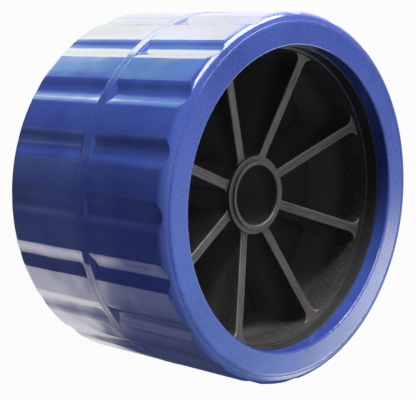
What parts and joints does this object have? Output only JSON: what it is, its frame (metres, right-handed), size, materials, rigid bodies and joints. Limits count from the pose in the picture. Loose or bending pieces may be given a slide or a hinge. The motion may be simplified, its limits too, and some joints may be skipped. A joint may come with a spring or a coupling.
{
  "type": "boat trailer side roller",
  "caption": "Glossy blue fluted tyre moulded onto a black spoked plastic hub with a plain bore; the side roller that guides a boat's hull onto its trailer.",
  "frame": {"origin": "on the bore's axis, in the plane of the lower ring face that the roller stands on", "axes": "+Z along the bore, out of the ring face that the picture shows; +X through the middle of a pocket between two spokes"},
  "size_m": [0.12, 0.12, 0.073],
  "materials": {
    "tyre": "glossy moulded blue",
    "hub": "satin black, fine spark grain"
  },
  "bodies": {
    "root": {"tyre": "tyre", "hub": "hub"}
  },
  "joints": []
}
